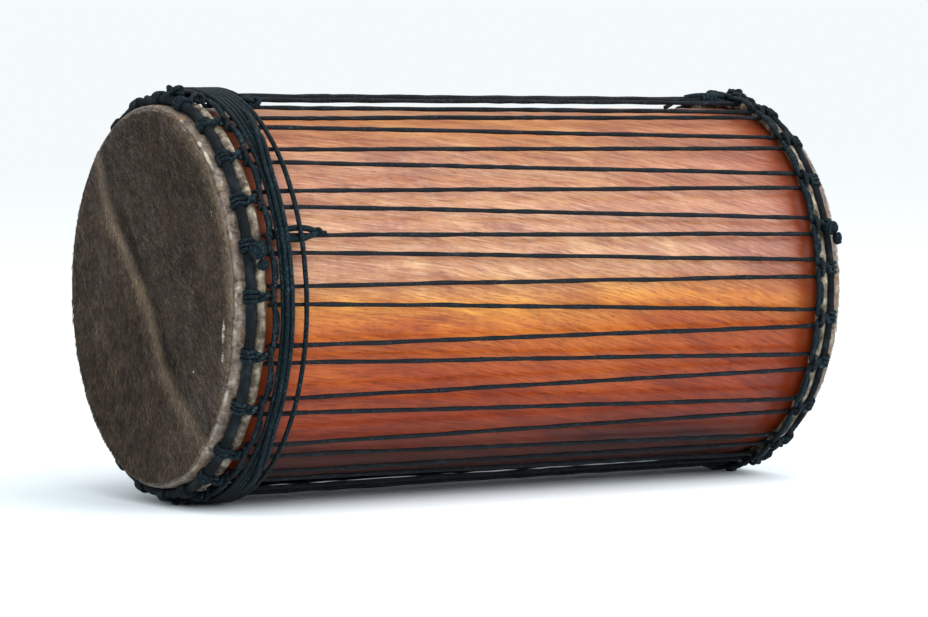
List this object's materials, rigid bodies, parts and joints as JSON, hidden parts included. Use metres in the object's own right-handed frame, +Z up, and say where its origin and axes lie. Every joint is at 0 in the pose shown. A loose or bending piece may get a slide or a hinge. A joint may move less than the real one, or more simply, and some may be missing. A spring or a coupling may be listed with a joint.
{
  "type": "two-headed rope-tensioned cylinder drum",
  "caption": "Wooden cylinder drum lying on its side, a hide head on each end held by cloth-bound rings and laced with one continuous tension rope.",
  "frame": {"origin": "on the ground under the middle of the drum as it lies on its side", "axes": "+Z up; the drum's axis runs along X with the larger front head towards -X, tipped 0.78 degrees so that both ends touch the ground"},
  "size_m": [0.6569, 0.3913, 0.3916],
  "materials": {
    "oiled_redwood": "oiled, satin",
    "front_goat_hide": "dark hide with short hair on",
    "rear_goat_hide": "hide with short hair on",
    "black_iron": "bare round bar",
    "hidden_hoop_iron": "bare round bar",
    "navy_cotton_strip": "woven strip",
    "front_loop_cord_nylon": "braided cord",
    "rear_loop_cord_nylon": "braided cord",
    "tension_rope_nylon": "braided cord",
    "wrap_band_nylon": "braided cord, worn",
    "knot_cord_nylon": "braided cord"
  },
  "bodies": {
    "shell_body": {"shell": "oiled_redwood", "tension_rope": "tension_rope_nylon", "wrap_band": "wrap_band_nylon", "leg_loop_knot": "knot_cord_nylon", "wrap_end_knot": "knot_cord_nylon"},
    "front_head": {"front_hide": "front_goat_hide", "front_flesh_hoop": "hidden_hoop_iron", "front_crown_ring": "black_iron", "front_ring_cloth": "navy_cotton_strip", "front_loop_cord": "front_loop_cord_nylon", "front_ring_knot": "knot_cord_nylon", "front_loop_knot": "knot_cord_nylon"},
    "rear_head": {"rear_hide": "rear_goat_hide", "rear_flesh_hoop": "hidden_hoop_iron", "rear_crown_ring": "black_iron", "rear_ring_cloth": "navy_cotton_strip", "rear_loop_cord": "rear_loop_cord_nylon", "rear_ring_knot_upper": "knot_cord_nylon", "rear_ring_knot_lower": "knot_cord_nylon", "rear_loop_knot": "knot_cord_nylon", "rope_lashing": "knot_cord_nylon"}
  },
  "joints": [
    {"name": "front_head_slack", "type": "slide", "parent": "shell_body", "child": "front_head", "axis": [-0.9999, 0, 0.0117], "range_m": [0, 0.01], "deforming": ["tension_rope"]},
    {"name": "rear_head_slack", "type": "slide", "parent": "shell_body", "child": "rear_head", "axis": [0.9999, 0, -0.0117], "range_m": [0, 0.01], "deforming": ["tension_rope"]}
  ],
  "couplings": [
    {"joint": "rear_head_slack", "follows": "front_head_slack", "ratio": 1}
  ]
}
